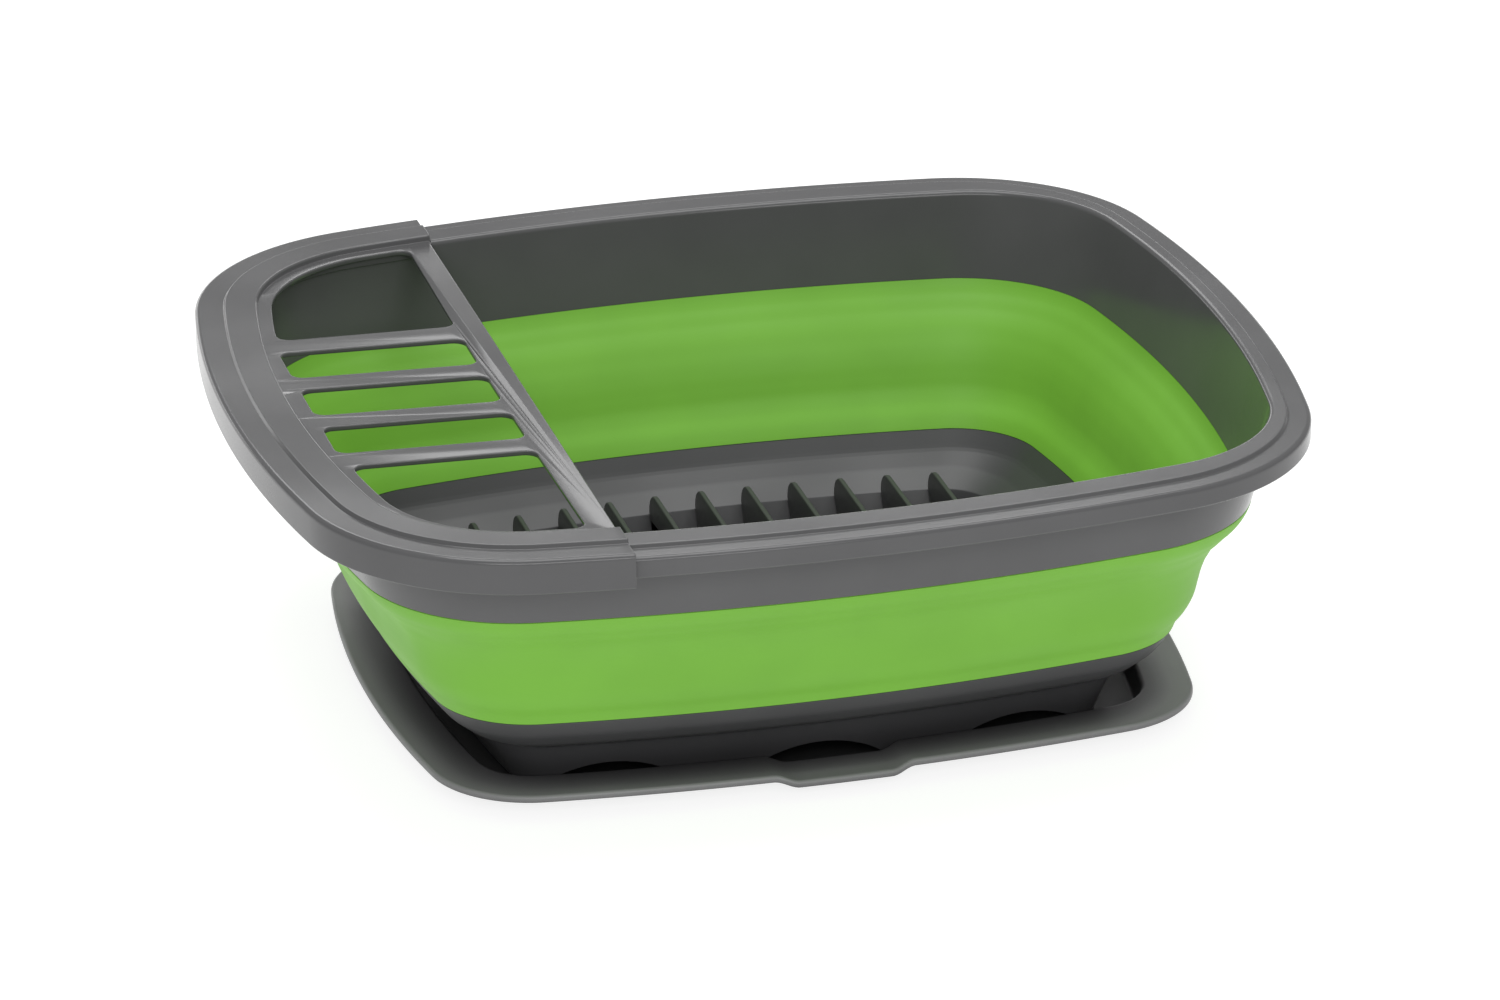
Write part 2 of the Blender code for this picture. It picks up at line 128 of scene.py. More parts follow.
def quarter(outline, long_fractions):
    long_centre, short_centre, centre, long_angle, short_angle = corner_arc(outline)
    arcs = ((long_centre, outline.long_side, QUARTER_TURN, long_angle, long_fractions),
            (centre, outline.corner, long_angle, short_angle, even_steps(CORNER_STEPS)),
            (short_centre, outline.short_side, short_angle, 0.0, even_steps(SHORT_STEPS)))
    points = []
    for middle, radius, first, last, fractions in arcs:
        for fraction in fractions:
            angle = first + (last - first) * fraction
            points.append(middle + Vector((math.cos(angle), math.sin(angle))) * radius)
    return points + [short_centre + Vector((outline.short_side, 0.0))]


def outline_points(outline, long_fractions=None):
    """The whole outline, anticlockwise from the middle of the +X side."""
    first = quarter(outline, long_fractions or even_steps(LONG_STEPS))
    north_east = list(reversed(first))
    north_west = [Vector((-p.x, p.y)) for p in first[1:]]
    south_west = [Vector((-p.x, -p.y)) for p in north_east[1:]]
    south_east = [Vector((p.x, -p.y)) for p in first[1:-1]]
    return north_east + north_west + south_west + south_east


def inset(outline, distance):
    return Outline(*(value - distance for value in outline))


def mix(first, last, share):
    return Outline(*(p + (q - p) * share for p, q in zip(first, last)))


def rounded(corners, closed=True):
    """Corners (x, y, radius, ...) with each radius turned into an arc. Anything after the radius is
    carried along, and long straight stretches get a support point near each end."""
    count = len(corners)
    points = []
    for index, (x, y, radius, *extra) in enumerate(corners):
        here = Vector((x, y))
        ends = not closed and index in (0, count - 1)
        if radius <= 0.0 or ends:
            points.append((here, extra))
            continue
        before = (Vector(corners[index - 1][:2]) - here).normalized()
        after = (Vector(corners[(index + 1) % count][:2]) - here).normalized()
        half = before.angle(after) / 2
        start = here + before * (radius / math.tan(half))
        middle = here + (before + after).normalized() * (radius / math.sin(half))
        turn = math.pi - 2 * half
        steps = max(2, math.ceil(turn / ARC_STEP))
        spin = 1 if before.cross(after) < 0 else -1
        for step in range(steps + 1):
            arm = (start - middle).copy()
            arm.rotate(Matrix.Rotation(spin * turn * step / steps, 2))
            points.append((middle + arm, extra))
    result = []
    for index, (here, extra) in enumerate(points):
        result.append((here, extra))
        if index == len(points) - 1 and not closed:
            break
        after, after_extra = points[(index + 1) % len(points)]
        length = (after - here).length
        if length > LEAST_FLAT:
            for share in (SUPPORT / length, 1 - SUPPORT / length):
                carried = [p + (q - p) * share for p, q in zip(extra, after_extra)]
                result.append((here.lerp(after, share), carried))
    return result


def rounded_box(left, right, first, last, radius):
    corners = ((left, first), (right, first), (right, last), (left, last))
    return [point for point, _ in rounded([(x, y, radius) for x, y in corners])]


# ---------------------------------------------------------------- meshes
def add_mesh(name, builder):
    mesh = bpy.data.meshes.new(name)
    bmesh.ops.recalc_face_normals(builder, faces=builder.faces)
    builder.to_mesh(mesh)
    builder.free()
    obj = bpy.data.objects.new(name, mesh)
    bpy.context.scene.collection.objects.link(obj)
    return obj


def loft(rings, capped):
    """Skin a list of rings. Uncapped, the last ring joins the first and the solid is a hoop."""
    builder = bmesh.new()
    rows = [[builder.verts.new(point) for point in points] for points in rings]
    count = len(rows[0])
    pairs = list(zip(rows, rows[1:])) + ([] if capped else [(rows[-1], rows[0])])
    for lower, upper in pairs:
        for index in range(count):
            after = (index + 1) % count
            builder.faces.new((lower[index], lower[after], upper[after], upper[index]))
    if capped:
        builder.faces.new(rows[0])
        builder.faces.new(rows[-1])
    return builder


def profile_rings(outlines, corners):
    """A section rounded in its own plane. Corners are (inward, height, radius, index), where inward
    is measured from the outline of that index. Each point comes back as (outline, height)."""
    offsets = [outlines[0].b - outline.b for outline in outlines]
    flat = []
    for inward, height, radius, chosen in corners:
        weights = [1.0 if index == chosen else 0.0 for index in range(len(outlines))]
        flat.append((inward + offsets[chosen], height, radius, *weights))
    section = []
    for point, weights in rounded(flat):
        blended = Outline(*(sum(w * v for w, v in zip(weights, values)) for values in zip(*outlines)))
        start = sum(w * offset for w, offset in zip(weights, offsets))
        section.append((inset(blended, point.x - start), point.y))
    return section


def apply_modifiers(obj):
    graph = bpy.context.evaluated_depsgraph_get()
    mesh = bpy.data.meshes.new_from_object(obj.evaluated_get(graph))
    obj.modifiers.clear()
    obj.data = mesh


def combine(target, tool, operation):
    modifier = target.modifiers.new(operation, "BOOLEAN")
    modifier.operation = operation
    modifier.solver = "MANIFOLD"  # EXACT loses the larger shape here
    modifier.object = tool
    apply_modifiers(target)
    bpy.data.objects.remove(tool, do_unlink=True)


def joined(name, builders):
    """Several separate closed shapes in one object, as one cutter or one set of ribs."""
    group = bmesh.new()
    for builder in builders:
        single = bpy.data.meshes.new("single")
        bmesh.ops.recalc_face_normals(builder, faces=builder.faces)
        builder.to_mesh(single)
        builder.free()
        group.from_mesh(single)
        bpy.data.meshes.remove(single)
    return add_mesh(name, group)


def prism(points, low, high):
    return loft([[Vector((p.x, p.y, z)) for p in points] for z in (low, high)], capped=True)


def smooth(obj):
    obj.data.shade_smooth()
    obj.data.set_sharp_from_angle(angle=SHARP_ANGLE)


# ---------------------------------------------------------------- rim
RIM_STEP = 1.3 * MM          # the outer band lies this far below the inner flat
RIM_STEP_RUN = 0.8 * MM
RIM_BAND = 8.1 * MM
RIM_BAND_FALL = 0.1 * MM     # the band falls outwards by this much
RIM_SKIRT = 2.0 * MM
RIM_SKIRT_DRAFT = 0.15 * MM
RIM_SKIRT_DROP = 9.1 * MM
RIM_UNDER = 3.8 * MM
RIM_EDGE_ROUND = 1.7 * MM
RIM_MOUTH_ROUND = 1.9 * MM
RIM_UNDER_ROUND = 1.2 * MM
SKIRT_FOOT_ROUNDS = (0.5 * MM, 0.7 * MM)    # inner and outer edge
SKIRT_ROOT_ROUND = 0.8 * MM
STEP_ROUNDS = (0.4 * MM, 0.5 * MM)          # foot and top of the step


def make_rim():
    top, bottom = rim_high.z, rim_low.z
    band, under, skirt = top - RIM_STEP, top - RIM_UNDER, top - RIM_SKIRT_DROP
    corners = [(RIM_SKIRT, skirt, SKIRT_FOOT_ROUNDS[0], 0), (RIM_SKIRT_DRAFT, skirt, SKIRT_FOOT_ROUNDS[1], 0),
               (0.0, band - RIM_BAND_FALL, RIM_EDGE_ROUND, 0), (RIM_BAND, band, STEP_ROUNDS[0], 0),
               (RIM_BAND + RIM_STEP_RUN, top, STEP_ROUNDS[1], 0), (0.0, top, RIM_MOUTH_ROUND, 1),
               (WALL / 2, bottom, SEAM_ROUND, 2), (-WALL / 2, bottom, SEAM_ROUND, 2),
               (-WALL, under, RIM_UNDER_ROUND, 1), (RIM_SKIRT, under, SKIRT_ROOT_ROUND, 0)]
    rings = []
    for outline, height in profile_rings((RIM, RIM_MOUTH, RIM_FOOT), corners):
        rings.append([Vector((p.x, p.y, height)) for p in outline_points(outline)])
    return add_mesh("rim", loft(rings, capped=False))


# ---------------------------------------------------------------- folding wall
# Middle line of the wall as (share of the way inwards, height in millimetres): a short upright
# lip, the upper fold, the steep middle, the lower fold and a second upright lip.
WALL_LINE = ((0.0, wall_high.z / MM), (0.04, 85.5), (0.10, 83.0), (0.19, 80.5), (0.27, 78.0),
             (0.36, 75.5), (0.435, 73.0), (0.50, 70.0), (0.575, 66.0), (0.64, 61.0), (0.685, 56.0),
             (0.73, 51.0), (0.81, 46.5), (0.93, 42.0), (1.0, wall_low.z / MM))
WALL_STEPS = 90


def smooth_line(points, count):
    """Points spaced evenly by parameter on a Catmull-Rom curve through the given ones."""
    padded = [points[0], *points, points[-1]]
    line = []
    for index in range(count + 1):
        place = index / count * (len(points) - 1)
        segment = min(int(place), len(points) - 2)
        t = place - segment
        p0, p1, p2, p3 = (Vector(p) for p in padded[segment:segment + 4])
        line.append(0.5 * ((2 * p1) + (p2 - p0) * t + (2 * p0 - 5 * p1 + 4 * p2 - p3) * t * t
                           + (3 * p1 - p0 - 3 * p2 + p3) * t * t * t))
    return line


def make_wall():
    line = smooth_line(WALL_LINE, WALL_STEPS)
    reach = RIM_FOOT.a - BASE_TOP.a
    skins = ([], [])
    for index, point in enumerate(line):
        before, after = line[max(index - 1, 0)], line[min(index + 1, len(line) - 1)]
        along = Vector(((after.x - before.x) * reach, (after.y - before.y) * MM)).normalized()
        if index in (0, len(line) - 1):
            along = Vector((0.0, -1.0))
        outline = mix(RIM_FOOT, BASE_TOP, point.x)
        for skin, side in zip(skins, (1, -1)):
            ring = inset(outline, along.y * side * WALL / 2)
            height = point.y * MM - along.x * side * WALL / 2
            skin.append([Vector((p.x, p.y, height)) for p in outline_points(ring)])
    return add_mesh("wall", loft(skins[0] + list(reversed(skins[1])), capped=False))


# ---------------------------------------------------------------- base
LEDGE = 19.5 * MM            # height of the ledge round the sunk floor
FLOOR_TOP = 13.0 * MM
FLOOR_BOTTOM = 11.0 * MM
FLOOR_SHARE = 0.88           # the floor's outline, as a share of the way from top to foot
FOOT_WALL = 2.4 * MM
# The base's section as (inward, height, rounding, share of the way from top outline to foot).
BASE_OUTSIDE = ((0, LEDGE, 1.2 * MM, 0.74), (0, 24.5 * MM, 9 * MM, 0.40), (0, 30.5 * MM, 12 * MM, 0.16),
                (0, base_high.z, SEAM_ROUND, 0))
BASE_INSIDE = ((WALL, base_high.z, SEAM_ROUND, 0), (WALL, 31.5 * MM, 11 * MM, 0.15),
               (WALL, 26.2 * MM, 9 * MM, 0.39), (WALL, 21.1 * MM, 1.0 * MM, 0.74),
               (WALL, FLOOR_TOP, 0.8 * MM, FLOOR_SHARE), (2 * WALL, FLOOR_TOP, 0, FLOOR_SHARE))
FOOT_ROUND = 0.6 * MM
FIN_THICKNESS = 1.9 * MM
FIN_EDGE = 0.55 * MM
FIN_EDGE_STEPS = 3
FIN_FOOT_CUT = 6.2 * MM      # a fin's outer end follows the base's wall: its corners are cut back
FIN_LEDGE_CUT = 2.0 * MM
FIN_UPRIGHT = 2.6 * MM
FIN_LEDGE_ROUND = 1.0 * MM
FIN_ROUND = 8.5 * MM
ARCH_WIDTH = 47.5 * MM
ARCH_TOP = 10.6 * MM
ARCH_STEPS = 16              # on each half of an arch
ARCH_PLACES = (-75.5 * MM, 0.0, 75.5 * MM)
ARCH_ROOT = -5 * MM          # the cutters start below the foot
ARCH_REACHES = (220 * MM, 260 * MM)         # lengths of the cutters along Y and along X
DRAIN = (84 * MM, 7 * MM)
DRAIN_ROUND = 3.325 * MM
DRAIN_CUT = (9 * MM, 16 * MM)               # heights between which the floor is cut
DRAIN_PLACES = ((-50 * MM, -12 * MM), (-50 * MM, 12 * MM), (50 * MM, -12 * MM), (50 * MM, 12 * MM))


def inset_polygon(points, distance, least_lean=0.3):
    """A convex polygon moved inwards by the same distance on every side. The least lean limits how
    far a sharp corner moves."""
    count = len(points)
    area = sum(points[i - 1].cross(points[i]) for i in range(count))
    spin = 1 if area > 0 else -1
    moved = []
    for index, here in enumerate(points):
        first = (here - points[index - 1]).normalized()
        second = (points[(index + 1) % count] - here).normalized()
        normal = Vector((-(first + second).y, (first + second).x)).normalized() * spin
        lean = max(least_lean, normal.dot(Vector((-first.y, first.x)) * spin))
        moved.append(here + normal * distance / lean)
    return moved


def fin_builder(name):
    """One fin: a plate with rounded edges, sunk into the floor it is moulded on."""
    low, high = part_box(name)
    side = 1 if low.y + high.y > 0 else -1
    near, far = sorted((abs(low.y), abs(high.y)))
    root = (FLOOR_TOP + FLOOR_BOTTOM) / 2
    corners = [(near, root, 0), (far - FIN_FOOT_CUT, root, 0), (far - FIN_LEDGE_CUT, LEDGE, FIN_LEDGE_ROUND),
               (far, LEDGE + FIN_UPRIGHT, FIN_LEDGE_ROUND), (far, high.z, FIN_ROUND),
               (near, high.z, FIN_ROUND)]
    profile = [point for point, _ in rounded(corners)]
    middle = (low.x + high.x) / 2
    rows = []
    steps = range(FIN_EDGE_STEPS + 1)
    for sign, order in ((-1, steps), (1, reversed(steps))):
        for step in order:
            angle = QUARTER_TURN * step / FIN_EDGE_STEPS
            depth = FIN_EDGE * (1 - math.sin(angle))
            x = middle + sign * (FIN_THICKNESS / 2 - FIN_EDGE * (1 - math.cos(angle)))
            rows.append([Vector((x, side * p.x, p.y)) for p in inset_polygon(profile, depth)])
    return loft(rows, capped=True)


def arch_builder(x, length, along_x):
    """A cutter with an arched top, which is a segment of a circle."""
    rise = ARCH_TOP - base_low.z
    radius = (ARCH_WIDTH ** 2 / 4 + rise ** 2) / (2 * rise)
    half = math.asin(ARCH_WIDTH / 2 / radius)
    section = []
    for step in range(2 * ARCH_STEPS + 1):
        angle = half * (step / ARCH_STEPS - 1)
        section.append((radius * math.sin(angle), ARCH_TOP - radius + radius * math.cos(angle)))
    section += [(ARCH_WIDTH / 2, ARCH_ROOT), (-ARCH_WIDTH / 2, ARCH_ROOT)]
    rows = []
    for reach in (-length / 2, length / 2):
        rows.append([Vector((x + reach, u, z) if along_x else (x + u, reach, z)) for u, z in section])
    return loft(rows, capped=True)


def base_shell():
    """The band, the ledge, the sunk floor and the foot ring, without fins or openings."""
    foot = base_low.z
    skin = inset(BASE_TOP, -WALL / 2)
    reach = skin.b - BASE_FOOT.b
    corners = [(FOOT_WALL, FLOOR_BOTTOM, 0, FLOOR_SHARE), (FOOT_WALL, foot, FOOT_ROUND, 1),
               (0, foot, FOOT_ROUND, 1), *BASE_OUTSIDE, *BASE_INSIDE]
    flat = [(inward + share * reach, z, radius, share) for inward, z, radius, share in corners]
    rings = []
    for point, (share,) in rounded(flat, closed=False):
        outline = inset(mix(skin, BASE_FOOT, share), point.x - share * reach)
        rings.append([Vector((p.x, p.y, point.y)) for p in outline_points(outline)])
    return add_mesh("tub_base", loft(rings, capped=True))


def make_base():
    base = base_shell()
    combine(base, joined("fins", [fin_builder(name) for name in fin_names]), "UNION")
    arches = [arch_builder(x, ARCH_REACHES[0], False) for x in ARCH_PLACES]
    combine(base, joined("arches", arches), "DIFFERENCE")
    slots = [arch_builder(0, ARCH_REACHES[1], True)]
    for x, y in DRAIN_PLACES:
        dx, dy = DRAIN[0] / 2, DRAIN[1] / 2
        slots.append(prism(rounded_box(x - dx, x + dx, y - dy, y + dy, DRAIN_ROUND), *DRAIN_CUT))
    combine(base, joined("slots", slots), "DIFFERENCE")
    return base


# ---------------------------------------------------------------- drip tray
SPOUT_DIP = 2.2 * MM
SPOUT_BULGE = 1.8 * MM
SPOUT_FLAT = 17 * MM
SPOUT_HALF = 26 * MM
TRAY_FLANGE = 18.4 * MM
TRAY_DRAFT = 2.2 * MM        # how far the well's wall leans in
TRAY_FLOOR = 3.0 * MM        # width of the strip of floor that the section carries
TRAY_SHEET = 2.0 * MM
TRAY_LIP = 2.6 * MM
TRAY_WELL_ROUNDS = (1.4 * MM, 1.5 * MM, 1.6 * MM)   # under the floor, under the flange, on top
TRAY_LIP_ROUNDS = (0.5 * MM, 0.6 * MM, 1.3 * MM)    # inside, foot and top of the lip
# The long sides get close points round the spout and wider ones beyond it.
TRAY_FRACTIONS = [index / 80 for index in range(32)] + [0.4 + index / 20 for index in range(12)]


def spout_share(x):
    share = min(1.0, max(0.0, (SPOUT_HALF - abs(x)) / (SPOUT_HALF - SPOUT_FLAT)))
    return share * share * (3 - 2 * share)


def make_tray():
    top = tray_high.z
    under, lip = top - TRAY_SHEET, top - TRAY_LIP
    floor = TRAY_FLANGE + TRAY_DRAFT
    below, corner, above = TRAY_WELL_ROUNDS
    inside, lip_foot, edge = TRAY_LIP_ROUNDS
    corners = [(floor + TRAY_FLOOR, 0.0, 0, 0), (floor - TRAY_SHEET, 0.0, below, 0),
               (TRAY_FLANGE - TRAY_SHEET, under, corner, 1), (TRAY_SHEET, under, inside, 1),
               (TRAY_SHEET, lip, inside, 1), (0, lip, lip_foot, 1), (0, top, edge, 1),
               (TRAY_FLANGE, top, above, 1), (floor, TRAY_SHEET, above, 0),
               (floor + TRAY_FLOOR, TRAY_SHEET, 0, 0)]
    rings = []
    for point, (dips,) in rounded(corners, closed=False):
        ring = []
        for p in outline_points(inset(TRAY, point.x), TRAY_FRACTIONS):
            share = dips * spout_share(p.x) if p.y < 0 else 0.0
            ring.append(Vector((p.x, p.y - SPOUT_BULGE * share, point.y - SPOUT_DIP * share)) + TRAY_SHIFT)
        rings.append(ring)
    return add_mesh("tray", loft(rings, capped=True))


# ---------------------------------------------------------------- cutlery caddy
CADDY_SHEET = 2.0 * MM
CADDY_PLAY = 0.5 * MM        # gap between the caddy's skirt and the rim
CADDY_END = -84.2 * MM
CADDY_PLATE_END = -84.6 * MM
CADDY_FLANGE_WIDTH = 20.2 * MM
CADDY_BAND_DROP = 1.4 * MM
CADDY_BAND = 7.9 * MM
CADDY_PLATE_DROP = 2.0 * MM  # the plate lies this far below the flange's flat
CADDY_PLATE_DEPTH = 2.0 * MM
CADDY_PLATE_FALLS = (0.1 * MM, 0.2 * MM)    # the flange dips under the plate's top: outside, inside
CADDY_PLATE_RUN = 0.3 * MM
CADDY_WEB_DEPTH = 5.0 * MM
CADDY_WEB_ROUND = 0.4 * MM
CADDY_THROAT = (0.9 * MM, 1.4 * MM)         # foot of the slope beside the rim's mouth: inward, down
CADDY_THROAT_START = -1.2 * MM
CADDY_SKIRT_ROUNDS = (0.4 * MM, 0.6 * MM, 1.9 * MM, 0.9 * MM)   # inner foot, outer foot, top, root
CADDY_PLATE_ROUNDS = (0.9 * MM, 0.3 * MM, 0.5 * MM)             # step's top and foot, throat
CADDY_WEB = Outline(171.3 * MM, 148.6 * MM, 56.0 * MM, 750 * MM, 535 * MM)
CADDY_WEB_INSIDE = Outline(169.3 * MM, 147.2 * MM, 54.0 * MM, 750 * MM, 535 * MM)
CADDY_OPENING = Outline(164.1 * MM, 145.0 * MM, 52.4 * MM, 750 * MM, 535 * MM)
CADDY_SLOT_LEFT = -162.5 * MM
CADDY_SLOT_RIGHT = -94.0 * MM
CADDY_SLOT_EDGES = ((-49.7 * MM, -24.3 * MM), (-12.8 * MM, 12.8 * MM), (24.3 * MM, 49.7 * MM))
CADDY_LARGE_EDGE = 62.0 * MM
CADDY_ROUND = 4.5 * MM
CADDY_SAG = 2.4 * MM
CADDY_SAG_REACH = 138 * MM   # the sag ends this far from the middle of the free edge
CADDY_EDGE = 0.6 * MM        # rounding of the plate's edges
OPENING_CORNER = 7 * MM      # the curved side of a large opening starts this far from its corners
OPENING_PLAY = 0.6 * MM
END_ROUND = 0.35 * MM
END_STEPS = 4
END_MARGINS = (3 * MM, 2 * MM)   # flange and plate outlines stop this short of their cut ends
PLATE_MERGE = 0.01 * MM


def on_outline(outline, x, side):
    """The point of the outline's long side that lies at x."""
    radius = outline.long_side
    return Vector((x, side * (outline.b - radius + math.sqrt(radius ** 2 - x ** 2))))


def shrink_section(section, depth):
    """Every point of a closed section moved into its material by the same distance."""
    flat = [Vector((RIM.b - outline.b, height)) for outline, height in section]
    count = len(flat)
    area = sum(flat[i - 1].cross(flat[i]) for i in range(count))
    spin = 1 if area > 0 else -1
    moved = []
    for index, (outline, height) in enumerate(section):
        first = (flat[index] - flat[index - 1]).normalized()
        second = (flat[(index + 1) % count] - flat[index]).normalized()
        lean = first + second
        step = Vector((-lean.y, lean.x)).normalized() * spin * depth
        moved.append((inset(outline, step.x), height + step.y))
    return moved


def make_caddy_flange():
    top, skirt = caddy_high.z, caddy_low.z
    band, under = top - CADDY_BAND_DROP, top - CADDY_SHEET
    plate, bottom = top - CADDY_PLATE_DROP, top - CADDY_PLATE_DROP - CADDY_WEB_DEPTH
    outside = -CADDY_PLAY - CADDY_SHEET
    inner_foot, outer_foot, edge, root = CADDY_SKIRT_ROUNDS
    step_top, step_foot, throat = CADDY_PLATE_ROUNDS
    corners = [(-CADDY_PLAY, skirt, inner_foot, 0), (outside, skirt, outer_foot, 0), (outside, band, edge, 0),
               (CADDY_BAND, band, STEP_ROUNDS[0], 0), (CADDY_BAND + RIM_STEP_RUN, top, STEP_ROUNDS[1], 0),
               (CADDY_FLANGE_WIDTH, top, step_top, 0),
               (CADDY_FLANGE_WIDTH + CADDY_PLATE_RUN, plate - CADDY_PLATE_FALLS[0], step_foot, 0),
               (0, plate - CADDY_PLATE_FALLS[1], 0, 2),
               (0, bottom, CADDY_WEB_ROUND, 2), (0, bottom, CADDY_WEB_ROUND, 1),
               (CADDY_THROAT[0], under - CADDY_THROAT[1], 0, 3), (CADDY_THROAT_START, under, throat, 3),
               (-CADDY_PLAY, under, root, 0)]
    section = profile_rings((RIM, CADDY_WEB, CADDY_WEB_INSIDE, RIM_MOUTH), corners)
    steps = [QUARTER_TURN * step / END_STEPS for step in range(END_STEPS + 1)]
    rounding = [(CADDY_END - END_ROUND * (1 - math.cos(a)), END_ROUND * (1 - math.sin(a))) for a in steps]
    rows = []
    for x, depth in rounding:
        rows.append([(*on_outline(outline, x, 1), z) for outline, z in shrink_section(section, depth)])
    loops = [outline_points(outline) for outline, _ in section]
    for index, place in enumerate(outline_points(RIM)):
        if place.x < CADDY_END - END_MARGINS[0]:
            rows.append([(*loop[index], z) for loop, (_, z) in zip(loops, section)])
    for x, depth in reversed(rounding):
        rows.append([(*on_outline(outline, x, -1), z) for outline, z in shrink_section(section, depth)])
    return add_mesh("caddy", loft([[Vector(p) for p in row] for row in rows], capped=True))


def plate_outline():
    shape = mix(CADDY_WEB, CADDY_WEB_INSIDE, 0.5)
    ends = [on_outline(shape, CADDY_PLATE_END, side) for side in (1, -1)]
    inner = [p for p in outline_points(shape) if p.x < CADDY_PLATE_END - END_MARGINS[1]]
    return [ends[0], *inner, ends[1]]


def large_opening(side):
    curve = [p for p in outline_points(CADDY_OPENING)
             if p.x < CADDY_SLOT_RIGHT - OPENING_CORNER and side * p.y > CADDY_LARGE_EDGE + OPENING_CORNER]
    curve.sort(key=lambda p: p.x)
    edge = side * CADDY_LARGE_EDGE
    left = curve[0].x - OPENING_PLAY
    far = on_outline(CADDY_OPENING, CADDY_SLOT_RIGHT, side).y
    corners = [(left, edge, CADDY_ROUND), (CADDY_SLOT_RIGHT, edge, CADDY_ROUND),
               (CADDY_SLOT_RIGHT, far, CADDY_ROUND)]
    corners += [(p.x, p.y, 0) for p in reversed(curve)]
    return [point for point, _ in rounded(corners)]


def sag(x, y):
    """How far the long free edge of the plate hangs below its ends."""
    along = min(1.0, max(0.0, (x - CADDY_SLOT_LEFT) / (CADDY_PLATE_END - CADDY_SLOT_LEFT)))
    return CADDY_SAG * along * max(0.0, 1 - (y / CADDY_SAG_REACH) ** 2)


def make_caddy_plate():
    outlines = [plate_outline(), large_opening(1), large_opening(-1)]
    outlines += [rounded_box(CADDY_SLOT_LEFT, CADDY_SLOT_RIGHT, first, last, CADDY_ROUND)
                 for first, last in CADDY_SLOT_EDGES]
    curve = bpy.data.curves.new("plate", "CURVE")
    curve.dimensions = "2D"
    curve.fill_mode = "BOTH"
    curve.extrude = CADDY_PLATE_DEPTH / 2 - CADDY_EDGE
    curve.bevel_depth = CADDY_EDGE
    curve.bevel_resolution = 3
    curve.offset = -CADDY_EDGE
    for points in outlines:
        spline = curve.splines.new("POLY")
        spline.points.add(len(points) - 1)
        for target, point in zip(spline.points, points):
            target.co = (point.x, point.y, 0.0, 1.0)
        spline.use_cyclic_u = True
    shape = bpy.data.objects.new("plate_curve", curve)
    bpy.context.scene.collection.objects.link(shape)
    graph = bpy.context.evaluated_depsgraph_get()
    mesh = bpy.data.meshes.new_from_object(shape.evaluated_get(graph))
    bpy.data.objects.remove(shape, do_unlink=True)
    builder = bmesh.new()
    builder.from_mesh(mesh)
    bmesh.ops.remove_doubles(builder, verts=builder.verts, dist=PLATE_MERGE)
    middle = caddy_high.z - CADDY_PLATE_DROP - CADDY_PLATE_DEPTH / 2
    for vertex in builder.verts:
        vertex.co.z += middle - sag(vertex.co.x, vertex.co.y)
    return add_mesh("caddy_plate", builder)


def make_caddy():
    caddy = make_caddy_flange()
    combine(caddy, make_caddy_plate(), "UNION")
    return caddy


# ---------------------------------------------------------------- materials
GREY = (0.088, 0.088, 0.090)
DARK_GREY = (0.046, 0.046, 0.048)
# The tray's own grey, painted much lighter: painted light that makes up for the shade under the tub.
TRAY_GREY_PAINTED_LIGHTER = (0.230, 0.229, 0.233)
GREEN = (0.097, 0.252, 0.022)

CLOUD_SCALE = 28.0           # noise per metre: clouds in the colour, grain, slow changes of gloss
GRAIN_SCALE = 2400.0
GLOSS_SCALE = 22.0
NOISE_SPAN = (0.3, 0.7)      # the part of a noise's values that is spread over the whole range
GRAIN_DEPTH = 0.05 * MM
WARP_DEPTH = 1.0 * MM
WARPS = (("X", 1.7), ("Y", 2.3), ("DIAGONAL", 1.1))     # directions and scales of the slow waves


def new_material(name):
    material = bpy.data.materials.new(name)
    material.use_nodes = True
    return material, material.node_tree.nodes, material.node_tree.links


def noise_node(nodes, links, scale, detail, coordinates):
    noise = nodes.new("ShaderNodeTexNoise")
    noise.inputs["Scale"].default_value = scale
    noise.inputs["Detail"].default_value = detail
    links.new(coordinates, noise.inputs["Vector"])
    return noise.outputs["Fac"]


def wave_node(nodes, links, axis, scale, coordinates):
    wave = nodes.new("ShaderNodeTexWave")
    wave.bands_direction = axis
    wave.inputs["Scale"].default_value = scale
    links.new(coordinates, wave.inputs["Vector"])
    return wave.outputs["Fac"]


def spread_node(nodes, links, source, low, high):
    """A noise's middle values spread between low and high."""
    spread = nodes.new("ShaderNodeMapRange")
    spread.inputs["From Min"].default_value = NOISE_SPAN[0]
    spread.inputs["From Max"].default_value = NOISE_SPAN[1]
    spread.inputs["To Min"].default_value = low
    spread.inputs["To Max"].default_value = high
    links.new(source, spread.inputs["Value"])
    return spread.outputs["Result"]


def bump_node(nodes, links, height, strength, distance, normal=None):
    bump = nodes.new("ShaderNodeBump")
    bump.inputs["Strength"].default_value = strength
    bump.inputs["Distance"].default_value = distance
    links.new(height, bump.inputs["Height"])
    if normal:
        links.new(normal, bump.inputs["Normal"])
    return bump.outputs["Normal"]


def shaded_colour(nodes, links, colour, reach):
    """The colour darkened in narrow gaps, where soft light hardly reaches."""
    gap = nodes.new("ShaderNodeAmbientOcclusion")
    gap.inputs["Distance"].default_value = reach
    links.new(colour, gap.inputs["Color"])
    dark = nodes.new("ShaderNodeMix")
    dark.data_type = "RGBA"
    dark.blend_type = "MULTIPLY"
    dark.inputs["Factor"].default_value = 1.0
    links.new(gap.outputs["Color"], dark.inputs["A"])
    links.new(gap.outputs["AO"], dark.inputs["B"])
    return dark.outputs["Result"]


